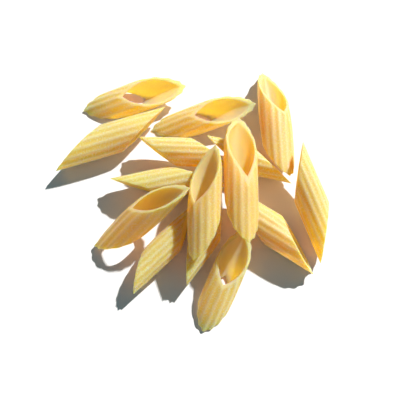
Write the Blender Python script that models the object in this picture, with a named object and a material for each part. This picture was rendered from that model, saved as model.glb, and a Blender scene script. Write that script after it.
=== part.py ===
# A small loose heap of dry penne rigate: fifteen ridged tubes of pasta with slanted
# cut ends, lying on and against each other as they were tipped out.
# Metres, +Z up. The origin is on the surface under the middle of the heap's box.

import math

import bmesh
import bpy

MM = 0.001

# One piece of pasta
RIDGES = 14
RIDGE_HEIGHT = 0.26 * MM
RIDGE_STEPS = 4
WALL = 0.9 * MM
BORE_STEPS = 28
USUAL_WIDTH = 10.5
USUAL_SIDE = 18.5
USUAL_CUT = 28

# Where the middle of the heap lies from the point that the places are measured from
MIDDLE = (-3.4, 3)

PASTA = (0.90, 0.66, 0.24, 1.0)


def clear_scene():
    for item in list(bpy.data.objects):
        bpy.data.objects.remove(item, do_unlink=True)


def new_collection(name):
    collection = bpy.data.collections.new(name)
    bpy.context.scene.collection.children.link(collection)
    return collection


def pasta_material():
    material = bpy.data.materials.new("dry_pasta")
    material.use_nodes = True
    shader = material.node_tree.nodes["Principled BSDF"]
    shader.inputs["Base Color"].default_value = PASTA
    shader.inputs["Roughness"].default_value = 0.55
    shader.inputs["Metallic"].default_value = 0.0
    return material


def closed_outline(curve, points):
    spline = curve.splines.new("POLY")
    spline.points.add(len(points) - 1)
    for place, (x, y) in zip(spline.points, points):
        place.co = (x, y, 0.0, 1.0)
    spline.use_cyclic_u = True


def ridged_outline(width):
    # Round-topped ridges with narrow valleys, all inside the piece's width.
    count = RIDGES * RIDGE_STEPS
    points = []
    for step in range(count):
        angle = 2 * math.pi * step / count
        crest = abs(math.cos(angle * RIDGES / 2))
        radius = width / 2 - RIDGE_HEIGHT * (1 - crest)
        points.append((radius * math.cos(angle), radius * math.sin(angle)))
    return points


def round_outline(radius):
    points = []
    for step in range(BORE_STEPS):
        angle = 2 * math.pi * step / BORE_STEPS
        points.append((radius * math.cos(angle), radius * math.sin(angle)))
    return points


def tube_mesh(name, width, length):
    # The die's outline pushed out along the tube: a ridged ring with its bore.
    curve = bpy.data.curves.new(name, "CURVE")
    curve.dimensions = "2D"
    curve.fill_mode = "BOTH"
    curve.extrude = length / 2
    closed_outline(curve, ridged_outline(width))
    closed_outline(curve, round_outline(width / 2 - RIDGE_HEIGHT - WALL))
    holder = bpy.data.objects.new(name, curve)
    bpy.context.scene.collection.objects.link(holder)
    graph = bpy.context.evaluated_depsgraph_get()
    mesh = bpy.data.meshes.new_from_object(holder.evaluated_get(graph))
    mesh.name = name
    bpy.data.objects.remove(holder, do_unlink=True)
    work = bmesh.new()
    work.from_mesh(mesh)
    bmesh.ops.remove_doubles(work, verts=work.verts, dist=0.00001)
    bmesh.ops.recalc_face_normals(work, faces=work.faces)
    work.to_mesh(mesh)
    work.free()
    return mesh


def cutter_box(name, size, collection):
    bpy.ops.mesh.primitive_cube_add(size=size)
    box = bpy.context.object
    box.name = name
    for owner in list(box.users_collection):
        owner.objects.unlink(box)
    collection.objects.link(box)
    box.hide_render = True
    box.display_type = "WIRE"
    return box


def penne(name, at, heading, lean, roll, width=USUAL_WIDTH, side=USUAL_SIDE, cut=USUAL_CUT):
    # at is the middle of the piece in millimetres. heading turns it about +Z, lean lifts
    # its front end and roll turns it on its own axis; all three are in degrees.
    # side is the length of its side from cut to cut, and cut the knife's angle to the axis.
    width = width * MM
    side = side * MM
    slant = width / math.tan(math.radians(cut))
    piece = bpy.data.objects.new(name, tube_mesh(name, width, side + slant + 6 * MM))
    pasta.objects.link(piece)
    piece.data.materials.append(colour)
    frame = bpy.data.objects.new(name + "_axis", None)
    pasta.objects.link(frame)
    frame.location = ((at[0] - MIDDLE[0]) * MM, (at[1] - MIDDLE[1]) * MM, at[2] * MM)
    frame.rotation_euler = (math.radians(roll), math.radians(-lean), math.radians(heading))
    # The tube is pushed out along Z, and lies along its frame's X.
    piece.parent = frame
    piece.rotation_euler = (0.0, math.radians(90), 0.0)
    size = 60 * MM
    reach = size / 2 + side / 2 * math.sin(math.radians(cut))
    for end, sign in (("front", 1), ("back", -1)):
        knife = cutter_box(f"{name}_{end}_knife", size, knives)
        knife.parent = frame
        knife.rotation_euler = (0.0, math.radians(cut), 0.0)
        knife.location = (
            sign * reach * math.sin(math.radians(cut)),
            0.0,
            sign * reach * math.cos(math.radians(cut)),
        )
        cutting = piece.modifiers.new(f"{end}_cut", "BOOLEAN")
        cutting.operation = "DIFFERENCE"
        cutting.solver = "EXACT"
        cutting.object = knife
    return piece


clear_scene()
pasta = new_collection("penne_heap")
knives = new_collection("knives")
colour = pasta_material()

# On the surface, at the back; the first two stand on the cut of their lower end
penne("penne_back_left", at=(-23.5, 39, 3.7), heading=9, lean=26, roll=5, width=11.5, side=14.5, cut=27)
penne("penne_back_middle", at=(1, 31.5, 3.6), heading=11, lean=26, roll=1, width=10.8, side=16, cut=26)
penne("penne_back_right", at=(26.5, 28.5, 6), heading=92, lean=2, roll=32, width=11.6, side=22.5, cut=29)

# On the surface, left
penne("penne_left", at=(-31, 22.5, 6), heading=17, lean=0, roll=104, width=11.6, side=24, cut=31)
penne("penne_left_low", at=(-10, 6.5, 5.9), heading=12, lean=2, roll=-78, width=11.2, side=20.5, cut=29)

# On the surface, under the top pieces
penne("penne_behind_top", at=(17, 15, 5.4), heading=-13, lean=-1, roll=-67, width=10.2, side=16, cut=31)
penne("penne_under_middle", at=(1.5, -13.5, 4.9), heading=54, lean=0, roll=85, width=9.8, side=19, cut=34)

# On the surface, front and right
penne("penne_front_left", at=(-12.5, -17, 5), heading=43, lean=1, roll=83, width=9.6, side=20.5, cut=34)
penne("penne_front", at=(8, -27.5, 4.8), heading=64, lean=30, roll=8, width=11.2, side=16, cut=30)
penne(
    "penne_front_right", at=(24.5, -10.5, 5.7),
    heading=-33, lean=0, roll=-67, width=11.4, side=19.5, cut=31,
)
penne("penne_right", at=(37.5, -1.5, 8.3), heading=113, lean=12, roll=-99, width=10.8, side=22.5, cut=31)

# Propped up by, leaning on or lying on the others
penne("penne_left_inner", at=(-5.5, 16.5, 8.4), heading=-3, lean=4, roll=-81, width=10.2, cut=36)
penne("penne_leaning", at=(-19.5, -7.5, 10.4), heading=37, lean=39, roll=-44, width=11.6, side=19.5, cut=31)
penne("penne_top_left", at=(1.5, -3.5, 14.7), heading=90, lean=18, roll=-40, width=11.6, side=17.5, cut=29)
penne("penne_top", at=(13.5, 5, 15.6), heading=90, lean=7, roll=22, width=11.6, side=22.5, cut=26)
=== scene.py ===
import math

import bpy
import numpy as np
from mathutils import Euler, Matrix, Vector


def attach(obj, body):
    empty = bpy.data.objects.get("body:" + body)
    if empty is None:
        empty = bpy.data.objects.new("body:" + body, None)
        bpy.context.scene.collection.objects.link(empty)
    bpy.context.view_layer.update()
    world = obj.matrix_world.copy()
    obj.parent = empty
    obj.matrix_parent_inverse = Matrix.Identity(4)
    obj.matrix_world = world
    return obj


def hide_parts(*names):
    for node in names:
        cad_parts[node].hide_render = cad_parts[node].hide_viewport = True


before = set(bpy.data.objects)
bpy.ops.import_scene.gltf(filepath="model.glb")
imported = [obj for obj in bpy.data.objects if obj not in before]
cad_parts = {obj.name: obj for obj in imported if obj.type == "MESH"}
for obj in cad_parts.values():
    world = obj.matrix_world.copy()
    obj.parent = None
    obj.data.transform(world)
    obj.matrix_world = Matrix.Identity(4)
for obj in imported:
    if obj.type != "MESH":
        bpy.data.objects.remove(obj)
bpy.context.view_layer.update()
print("frame loaded:", len(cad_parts), "pieces of pasta")

mm = 0.001

# Camera: above and in front of the heap, close by, as the photograph was taken

cameraValues = {
    "lookAt": (3.4, -3.0, 6.0),  # mm, the point in the middle of the frame
    "distance": 260.0,           # mm
    "elevation": 72.0,           # degrees above the floor
    "lens": 69.0,                # mm, for a square frame
    "sensor": 36.0,              # mm
    "sees": (0.01, 20.0),        # metres, from nearest to farthest
}


def addCamera(values):
    lens = bpy.data.cameras.new("heapCamera")
    lens.lens = values["lens"]
    lens.sensor_width = values["sensor"]
    lens.clip_start, lens.clip_end = values["sees"]
    camera = bpy.data.objects.new("heapCamera", lens)
    bpy.context.scene.collection.objects.link(camera)
    elevation = math.radians(values["elevation"])
    back = Vector((0.0, -math.cos(elevation), math.sin(elevation)))
    camera.location = (Vector(values["lookAt"]) + back * values["distance"]) * mm
    camera.rotation_euler = (math.pi / 2 - elevation, 0.0, 0.0)
    bpy.context.scene.camera = camera


addCamera(cameraValues)

# Light: hard sun from the back right, a faint blue sky, and a white backdrop that only the camera sees

lightValues = {
    "fromHeading": 46.0,    # degrees from +X towards +Y
    "fromElevation": 41.0,  # degrees above the floor
    "distance": 1.2,        # metres, only where the lamp is drawn
    "spread": 1.9,          # degrees across, small enough for a clear shadow
    "power": 5.3,           # watts a square metre
    "colour": (1.0, 0.98, 0.94),
    "skyColour": (0.56, 0.91, 1.0),
    "skyStrength": 0.12,
    "backdropColour": (1.0, 1.0, 1.0),
    "gamma": 1.15,
}


def addSun(values):
    heading = math.radians(values["fromHeading"])
    elevation = math.radians(values["fromElevation"])
    towards = Vector((
        math.cos(elevation) * math.cos(heading),
        math.cos(elevation) * math.sin(heading),
        math.sin(elevation),
    ))
    lamp = bpy.data.lights.new("keyLight", "SUN")
    lamp.angle = math.radians(values["spread"])
    lamp.energy = values["power"]
    lamp.color = values["colour"]
    key = bpy.data.objects.new("keyLight", lamp)
    bpy.context.scene.collection.objects.link(key)
    key.location = towards * values["distance"]
    key.rotation_euler = towards.to_track_quat("Z", "Y").to_euler()


def addSky(values):
    sky = bpy.data.worlds.new("studioSky")
    sky.use_nodes = True
    tree = sky.node_tree
    background = tree.nodes["Background"]
    background.inputs["Color"].default_value = (*values["skyColour"], 1.0)
    background.inputs["Strength"].default_value = values["skyStrength"]
    backdrop = tree.nodes.new("ShaderNodeBackground")
    backdrop.inputs["Color"].default_value = (*values["backdropColour"], 1.0)
    rays = tree.nodes.new("ShaderNodeLightPath")
    choice = tree.nodes.new("ShaderNodeMixShader")
    tree.links.new(rays.outputs["Is Camera Ray"], choice.inputs[0])
    tree.links.new(background.outputs[0], choice.inputs[1])
    tree.links.new(backdrop.outputs[0], choice.inputs[2])
    tree.links.new(choice.outputs[0], tree.nodes["World Output"].inputs["Surface"])
    bpy.context.scene.world = sky
    bpy.context.scene.view_settings.view_transform = "Standard"  # so yellows stay clean
    bpy.context.scene.view_settings.gamma = values["gamma"]


addSun(lightValues)
addSky(lightValues)

floorValues = {
    "size": 4.0,  # metres
    "colour": (0.97, 0.97, 0.97),
    "roughness": 0.8,
}


def addFloor(values):
    half = values["size"] / 2
    mesh = bpy.data.meshes.new("floor")
    corners = [(-half, -half, 0.0), (half, -half, 0.0), (half, half, 0.0), (-half, half, 0.0)]
    mesh.from_pydata(corners, [], [(0, 1, 2, 3)])
    floor = bpy.data.objects.new("floor", mesh)
    bpy.context.scene.collection.objects.link(floor)
    paper = bpy.data.materials.new("paleFloor")
    paper.use_nodes = True
    shader = paper.node_tree.nodes["Principled BSDF"]
    shader.inputs["Base Color"].default_value = (*values["colour"], 1.0)
    shader.inputs["Roughness"].default_value = values["roughness"]
    mesh.materials.append(paper)


addFloor(floorValues)
print("camera, light and floor are in place")

# Small helpers for the materials: each adds one node and gives back what it puts out


def feed(tree, socket, value):
    # a number is set on the socket, and anything else is linked to it
    if isinstance(value, (int, float)):
        socket.default_value = value
    else:
        tree.links.new(value, socket)


def mathNode(tree, operation, *values):
    node = tree.nodes.new("ShaderNodeMath")
    node.operation = operation
    for socket, value in zip(node.inputs, values):
        feed(tree, socket, value)
    return node.outputs[0]


def noiseNode(tree, coordinate, scale, detail, roughness):
    node = tree.nodes.new("ShaderNodeTexNoise")
    node.inputs["Detail"].default_value = detail
    node.inputs["Roughness"].default_value = roughness
    tree.links.new(coordinate, node.inputs["Vector"])
    feed(tree, node.inputs["Scale"], scale)
    return node.outputs["Fac"]


def rangeNode(tree, value, old, new=(0.0, 1.0)):
    node = tree.nodes.new("ShaderNodeMapRange")
    node.interpolation_type = "SMOOTHSTEP"
    tree.links.new(value, node.inputs["Value"])
    node.inputs["From Min"].default_value, node.inputs["From Max"].default_value = old
    node.inputs["To Min"].default_value, node.inputs["To Max"].default_value = new
    return node.outputs["Result"]


def mixColour(tree, amount, first, second):
    node = tree.nodes.new("ShaderNodeMix")
    node.data_type = "RGBA"
    tree.links.new(amount, node.inputs[0])
    for socket, colour in ((node.inputs[6], first), (node.inputs[7], second)):
        if isinstance(colour, tuple):
            socket.default_value = (*colour, 1.0)
        else:
            tree.links.new(colour, socket)
    return node.outputs[2]


def meshValue(tree, name):
    node = tree.nodes.new("ShaderNodeAttribute")
    node.attribute_name = name
    return node.outputs["Fac"]


# Flour-like grain, shared by all three pasta materials: fine pale specks over slow clouds

grainValues = {
    "speckFrom": (0.50, 0.66),   # where in the fine noise a speck starts, and where it is whole
    "cloudFrom": (0.36, 0.66),
    "cloudScale": 260.0,         # clouds about 4 mm across
    "lumpScale": 900.0,          # lumps about 1 mm across, felt in the relief only
    "lumpHeight": 0.6,
    "speckHeight": 0.5,
}


def makeFlourGrain(values):
    group = bpy.data.node_groups.new("flourGrain", "ShaderNodeTree")
    sockets = group.interface
    sockets.new_socket(name="Coordinate", in_out="INPUT", socket_type="NodeSocketVector")
    sockets.new_socket(name="Grains per mm", in_out="INPUT", socket_type="NodeSocketFloat")
    for name in ("Specks", "Clouds", "Height"):
        sockets.new_socket(name=name, in_out="OUTPUT", socket_type="NodeSocketFloat")
    given = group.nodes.new("NodeGroupInput")
    result = group.nodes.new("NodeGroupOutput")
    place = given.outputs["Coordinate"]
    fineScale = mathNode(group, "DIVIDE", given.outputs["Grains per mm"], mm)
    fine = noiseNode(group, place, fineScale, detail=3.0, roughness=0.6)
    clouds = noiseNode(group, place, values["cloudScale"], detail=3.0, roughness=0.55)
    lumps = noiseNode(group, place, values["lumpScale"], detail=2.0, roughness=0.5)
    grit = mathNode(group, "MULTIPLY", fine, values["speckHeight"])
    height = mathNode(group, "MULTIPLY_ADD", lumps, values["lumpHeight"], grit)
    group.links.new(rangeNode(group, fine, values["speckFrom"]), result.inputs["Specks"])
    group.links.new(rangeNode(group, clouds, values["cloudFrom"]), result.inputs["Clouds"])
    group.links.new(height, result.inputs["Height"])
    return group


flourGrain = makeFlourGrain(grainValues)

# Pasta: one recipe, with its own values outside, on the cut and in the bore

pastaValues = {
    "ior": 1.45,
    "scatter": (1.0, 0.62, 0.03),      # red goes deepest and blue hardly at all
    "scatterDepth": 7.0,               # mm
    "paintedGlowColour": (1.0, 0.42, 0.02),   # painted glow, standing in for light that wanders through the walls
    "grainsPerMm": 2.2,
    "crestFrom": (0.15, 0.95),         # how far up a ridge its paler crest, a painted highlight, starts
}
outsideValues = {
    "name": "ridgedPasta",
    # outside, valley is darker as painted shade in the grooves and crest paler as a painted highlight
    # on the ridges
    "valley": (0.970, 0.540, 0.100),
    "crest": (0.970, 0.595, 0.260),
    # a darker colour mixed over a whole piece, by that piece's own amount
    "tinted": (0.700, 0.350, 0.070),
    "speck": (0.980, 0.800, 0.550),
    "speckAmount": 0.65,
    "cloudAmount": 0.25,
    "roughness": (0.48, 0.68),  # bare, and under a speck
    "grainDepth": 0.10,         # mm
    "paintedGlow": 0.0,
}
cutValues = {
    "name": "cutPasta",
    "valley": (0.980, 0.620, 0.240),
    "crest": (0.980, 0.620, 0.240),
    "tinted": (0.760, 0.420, 0.140),
    "speck": (0.980, 0.730, 0.420),
    "speckAmount": 0.50,
    "cloudAmount": 0.20,
    "roughness": (0.60, 0.80),
    "grainDepth": 0.08,
    "paintedGlow": 0.0,
}
boreValues = {
    "name": "borePasta",
    "valley": (0.980, 0.570, 0.280),
    "crest": (0.980, 0.570, 0.280),
    "tinted": (0.920, 0.460, 0.020),
    "speck": (0.980, 0.700, 0.360),
    "speckAmount": 0.35,
    "cloudAmount": 0.30,
    "roughness": (0.42, 0.58),
    "grainDepth": 0.03,
    # painted glow: the bore gives off this much orange light of its own
    "paintedGlow": 0.075,
}


def makePasta(values):
    common = pastaValues
    material = bpy.data.materials.new(values["name"])
    material.use_nodes = True
    tree = material.node_tree
    shader = tree.nodes["Principled BSDF"]
    shader.inputs["IOR"].default_value = common["ior"]
    shader.inputs["Subsurface Weight"].default_value = 1.0
    shader.inputs["Subsurface Radius"].default_value = common["scatter"]
    shader.inputs["Subsurface Scale"].default_value = common["scatterDepth"] * mm
    # painted glow: emission that stands in for light passing through the thin walls
    shader.inputs["Emission Color"].default_value = (*common["paintedGlowColour"], 1.0)
    shader.inputs["Emission Strength"].default_value = values["paintedGlow"]
    place = tree.nodes.new("ShaderNodeTexCoord")
    grain = tree.nodes.new("ShaderNodeGroup")
    grain.node_tree = flourGrain
    grain.inputs["Grains per mm"].default_value = common["grainsPerMm"]
    tree.links.new(place.outputs["Object"], grain.inputs["Coordinate"])
    # colour: ridges, then clouds, flour, and a darker tint set piece by piece
    # painted highlight and shade: crests paler, grooves darker, following the ridges
    crest = rangeNode(tree, meshValue(tree, "crest"), common["crestFrom"])
    ridged = mixColour(tree, crest, values["valley"], values["crest"])
    clouds = mathNode(tree, "MULTIPLY", grain.outputs["Clouds"], values["cloudAmount"])
    clouded = mixColour(tree, clouds, ridged, values["valley"])
    specks = mathNode(tree, "MULTIPLY", grain.outputs["Specks"], values["speckAmount"])
    floured = mixColour(tree, specks, clouded, values["speck"])
    withTint = mixColour(tree, meshValue(tree, "tint"), floured, values["tinted"])
    tree.links.new(withTint, shader.inputs["Base Color"])
    roughness = rangeNode(tree, grain.outputs["Specks"], (0.0, 1.0), values["roughness"])
    tree.links.new(roughness, shader.inputs["Roughness"])
    bump = tree.nodes.new("ShaderNodeBump")
    bump.inputs["Strength"].default_value = 1.0
    bump.inputs["Distance"].default_value = values["grainDepth"] * mm
    tree.links.new(grain.outputs["Height"], bump.inputs["Height"])
    tree.links.new(bump.outputs["Normal"], shader.inputs["Normal"])
    return material


pastaOutside = makePasta(outsideValues)
pastaCut = makePasta(cutValues)
pastaBore = makePasta(boreValues)
print("pasta materials made")

# One piece of pasta: a ridged tube along its own X axis, from knife cut to knife cut. The tip of each
# slanted end is at the bottom of the front cut and the top of the back cut, and its heel is opposite.

tubeValues = {
    "ridges": 14,
    "ridgeHeight": 0.26,  # mm
    "wall": 0.8,          # mm, under the valleys
    "inset": 0.06,        # mm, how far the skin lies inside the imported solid
    "stepsPerRidge": 10,
    "stepsAlong": 60,
    "boreSteps": 26,
    # the cut, from the outside (0) through the wall to the bore (1), and how proud it stands in mm
    "lip": (
        (0.0, -0.14), (0.10, -0.05), (0.30, 0.0), (0.55, 0.02),
        (0.80, -0.02), (0.93, -0.08), (1.0, -0.18),
    ),
    "slowWave": 0.05,     # mm, so that no piece is perfectly straight or round
    "slowLobes": (2, 3, 5),   # waves round the tube
    "slowTurns": (0.3, 1.6),  # how far each wave winds along it
    "slowSeed": 50,           # added to the piece's own seed
    "cutWave": 0.05,      # mm, the cut's uneven edge
    "cutLobes": (2, 3, 7, 11, 19, 28),
    "cutHeights": (0.5, 1.0),
    "cutFade": 0.6,       # how fast the finer waves of the cut get lower
    "phase": (0.0, 6.3),  # radians, where a wave starts
    "cutReach": 8,        # a higher power keeps that edge nearer the cut
    "squeezeReach": 3,    # the same for the knife's squeeze
    "almondSteps": 91,
    "squash": 0.03,       # how much narrower the squeezed ends are
    "pinchAtTip": 0.35,   # how pointed the knife leaves a round tube at each place
    "pinchMoreInBore": 0.45,
    "pinchAtHeel": 0.85,
    "tipReach": 3,        # how closely a bent tip keeps to the tip, and a notch to the heel
    "heelReach": 6,
    "tipLift": 0.175,     # how far a bent tip rises for each mm that it goes sideways
    "heapMiddle": (-3.4, 3.0),  # mm, the heap's middle in the places below
}


def slowWaves(seed, angle, along):
    common = tubeValues
    draw = np.random.default_rng(seed + common["slowSeed"])
    height = np.zeros(angle.shape)
    for lobes in common["slowLobes"]:
        turns = draw.uniform(*common["slowTurns"])
        phase = draw.uniform(*common["phase"])
        height += np.sin(lobes * angle + turns * along * math.pi + phase) / lobes
    return common["slowWave"] * height


def cutWaves(draw, angle):
    common = tubeValues
    height = np.zeros(angle.shape)
    for lobes in common["cutLobes"]:
        size = draw.uniform(*common["cutHeights"])
        phase = draw.uniform(*common["phase"])
        height += size * np.sin(lobes * angle + phase) / lobes ** common["cutFade"]
    return common["cutWave"] * height


def almondRadius(angle, sharpness):
    # the radius of a ring squeezed towards an almond, with its points at top and bottom
    turn = np.linspace(0.0, math.pi / 2, tubeValues["almondSteps"])
    across = np.sin(turn) ** sharpness
    up = np.cos(turn)
    fromPoint = np.abs((angle + math.pi / 2) % math.pi - math.pi / 2)
    return np.interp(fromPoint, np.arctan2(across, up), np.hypot(across, up))


def profileRows():
    # the tube's rings, along the outside, over the front cut, back through the bore and over the
    # back cut: how deep in the wall, how proud of the knife's plane, how far along (-1 to 1), and where
    common = tubeValues
    outermost, *across, innermost = common["lip"]
    rows = []
    for step in range(common["stepsAlong"] + 1):
        rows.append((*outermost, -1.0 + 2.0 * step / common["stepsAlong"], "outside"))
    for place in across:
        rows.append((*place, 1.0, "cut"))
    for step in range(common["boreSteps"] + 1):
        rows.append((*innermost, 1.0 - 2.0 * step / common["boreSteps"], "bore"))
    for place in reversed(across):
        rows.append((*place, -1.0, "cut"))
    return rows


def tubePoints(values, rows, angle, crest):
    common = tubeValues
    draw = np.random.default_rng(values["seed"])
    frontCut = cutWaves(draw, angle)
    backCut = cutWaves(draw, angle)
    width = values["width"]
    cut = math.radians(values["cut"])
    tipShift = values.get("tipShift", 0.0)
    outer = width / 2 - common["ridgeHeight"] * (1.0 - crest)
    bore = width / 2 - common["ridgeHeight"] - common["wall"]
    points = []
    for depth, proud, along, _ in rows:
        squeeze = abs(along) ** common["squeezeReach"]
        heelSide = 0.5 + 0.5 * np.cos(angle) * np.sign(along)
        tipPinch = common["pinchAtTip"] + common["pinchMoreInBore"] * depth
        atTip = almondRadius(angle, 1.0 + tipPinch * squeeze)
        atHeel = almondRadius(angle, 1.0 + common["pinchAtHeel"] * squeeze)
        radius = outer * (1.0 - depth) + bore * depth
        radius = radius * (atTip + (atHeel - atTip) * heelSide)
        radius = radius - common["inset"] + slowWaves(values["seed"], angle, along)
        y = radius * np.sin(angle) * (1.0 - common["squash"] * squeeze)
        z = radius * np.cos(angle)
        notch = 0.0
        if along > 0:
            tip = squeeze * np.clip(0.5 - z / width, 0.0, 1.0) ** common["tipReach"]
            heel = squeeze * np.clip(0.5 + z / width, 0.0, 1.0) ** common["heelReach"]
            y = y + tipShift * tip
            z = z + abs(tipShift) * common["tipLift"] * tip
            notch = values.get("notch", 0.0) * heel
        edge = (frontCut if along > 0 else backCut) + proud
        reach = values["side"] / 2 + edge * abs(along) ** common["cutReach"] / math.sin(cut)
        x = along * reach - z / math.tan(cut) - notch
        points.append(np.stack([x, y, z], axis=-1))
    return np.concatenate(points)


def inHeap(points, values):
    # from the tube's own axes to its place in the heap, in metres
    spot = np.array(values["at"]) - (*tubeValues["heapMiddle"], 0.0)
    turns = (values["roll"], -values["lean"], values["heading"])
    turn = np.array(Euler([math.radians(part) for part in turns]).to_matrix())
    return (points @ turn.T + spot) * mm


def tubeFaces(rows, around):
    # quads between each ring and the next, with the material slot of each
    faces = []
    slots = []
    for number, row in enumerate(rows):
        following = (number + 1) % len(rows)
        here = np.arange(around) + number * around
        there = np.arange(around) + following * around
        faces.append(np.stack([here, np.roll(here, -1), np.roll(there, -1), there], axis=-1))
        parts = {row[-1], rows[following][-1]}
        slot = 1 if "cut" in parts else 2 if "bore" in parts else 0
        slots.extend([slot] * around)
    return np.concatenate(faces), slots


def writeValue(mesh, name, numbers):
    # a number for each point, which the materials read by its name
    attribute = mesh.attributes.new(name, "FLOAT", "POINT")
    attribute.data.foreach_set("value", numbers)


def makePenne(values):
    around = tubeValues["ridges"] * tubeValues["stepsPerRidge"]
    angle = np.arange(around) * 2 * math.pi / around
    crest = 0.5 + 0.5 * np.cos(angle * tubeValues["ridges"])
    rows = profileRows()
    points = inHeap(tubePoints(values, rows, angle, crest), values)
    faces, slots = tubeFaces(rows, around)
    mesh = bpy.data.meshes.new(values["name"])
    mesh.from_pydata(points.tolist(), [], faces.tolist())
    for material in (pastaOutside, pastaCut, pastaBore):
        mesh.materials.append(material)
    mesh.polygons.foreach_set("material_index", slots)
    # crest marks the ridges' tops; the outside material paints a highlight there and shade in the
    # grooves
    writeValue(mesh, "crest", np.tile(crest, len(rows)))
    writeValue(mesh, "tint", np.full(len(points), values.get("tint", 0.0)))
    mesh.shade_smooth()
    mesh.update()
    penne = bpy.data.objects.new(values["name"], mesh)
    bpy.context.scene.collection.objects.link(penne)
    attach(penne, "root")
    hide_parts(values["node"])


# Places are in millimetres and turns in degrees: heading about +Z, lean lifts the front end,
# roll turns the piece on its own axis. side is the length from cut to cut, cut the knife's angle,
# tint how far a piece's colour is pulled towards a darker tint, tipShift bends the front tip and notch
# cuts into its heel.

backLeft = {
    "name": "backLeftPenne", "node": "penne_back_left", "seed": 1,
    "at": (-23.5, 39, 3.7), "heading": 9, "lean": 26, "roll": 5,
    "width": 11.5, "side": 14.5, "cut": 27,
}
makePenne(backLeft)

backMiddle = {
    "name": "backMiddlePenne", "node": "penne_back_middle", "seed": 2,
    "at": (1, 31.5, 3.6), "heading": 11, "lean": 26, "roll": 1,
    "width": 10.8, "side": 16, "cut": 26,
}
makePenne(backMiddle)

backRight = {
    "name": "backRightPenne", "node": "penne_back_right", "seed": 3, "tint": 0.35,
    "at": (26.5, 28.5, 6), "heading": 92, "lean": 2, "roll": 32,
    "width": 11.6, "side": 22.5, "cut": 29,
}
makePenne(backRight)

left = {
    "name": "leftPenne", "node": "penne_left", "seed": 4,
    "at": (-31, 22.5, 6), "heading": 17, "lean": 0, "roll": 104,
    "width": 11.6, "side": 24, "cut": 31,
}
makePenne(left)

leftInner = {
    "name": "leftInnerPenne", "node": "penne_left_inner", "seed": 5,
    "at": (-5.5, 16.5, 8.4), "heading": -3, "lean": 4, "roll": -81,
    "width": 10.2, "side": 18.5, "cut": 36,
}
makePenne(leftInner)

leftLow = {
    "name": "leftLowPenne", "node": "penne_left_low", "seed": 6,
    "at": (-10, 6.5, 5.9), "heading": 12, "lean": 2, "roll": -78,
    "width": 11.2, "side": 20.5, "cut": 29,
}
makePenne(leftLow)

behindTop = {
    "name": "behindTopPenne", "node": "penne_behind_top", "seed": 7,
    "at": (17, 15, 5.4), "heading": -13, "lean": -1, "roll": -67,
    "width": 10.2, "side": 16, "cut": 31,
}
makePenne(behindTop)

underMiddle = {
    "name": "underMiddlePenne", "node": "penne_under_middle", "seed": 8,
    "at": (1.5, -13.5, 4.9), "heading": 54, "lean": 0, "roll": 85,
    "width": 9.8, "side": 19, "cut": 34,
}
makePenne(underMiddle)

frontLeft = {
    "name": "frontLeftPenne", "node": "penne_front_left", "seed": 9, "tint": 0.10,
    "at": (-12.5, -17, 5), "heading": 43, "lean": 1, "roll": 83,
    "width": 9.6, "side": 20.5, "cut": 34,
}
makePenne(frontLeft)

front = {
    "name": "frontPenne", "node": "penne_front", "seed": 10,
    "at": (8, -27.5, 4.8), "heading": 64, "lean": 30, "roll": 8,
    "width": 11.2, "side": 16, "cut": 30,
}
makePenne(front)

frontRight = {
    "name": "frontRightPenne", "node": "penne_front_right", "seed": 11, "tint": 0.30,
    "at": (24.5, -10.5, 5.7), "heading": -33, "lean": 0, "roll": -67,
    "width": 11.4, "side": 19.5, "cut": 31,
}
makePenne(frontRight)

right = {
    "name": "rightPenne", "node": "penne_right", "seed": 12, "tint": 0.15,
    "at": (37.5, -1.5, 8.3), "heading": 113, "lean": 12, "roll": -99,
    "width": 10.8, "side": 22.5, "cut": 31,
}
makePenne(right)

leaning = {
    "name": "leaningPenne", "node": "penne_leaning", "seed": 13, "tint": 0.35,
    "at": (-19.5, -7.5, 10.4), "heading": 37, "lean": 39, "roll": -44,
    "width": 11.6, "side": 19.5, "cut": 31,
}
makePenne(leaning)

topLeft = {
    "name": "topLeftPenne", "node": "penne_top_left", "seed": 14, "tint": 0.25,
    "at": (1.5, -3.5, 14.7), "heading": 90, "lean": 18, "roll": -40,
    "width": 11.6, "side": 17.5, "cut": 29,
}
makePenne(topLeft)

top = {
    "name": "topPenne", "node": "penne_top", "seed": 15, "tint": 0.50,
    "at": (13.5, 5, 15.6), "heading": 90, "lean": 7, "roll": 22,
    "width": 11.6, "side": 22.5, "cut": 26,
    "tipShift": -2.0, "notch": 4.0,  # mm
}
makePenne(top)
print("fifteen pieces of pasta placed")
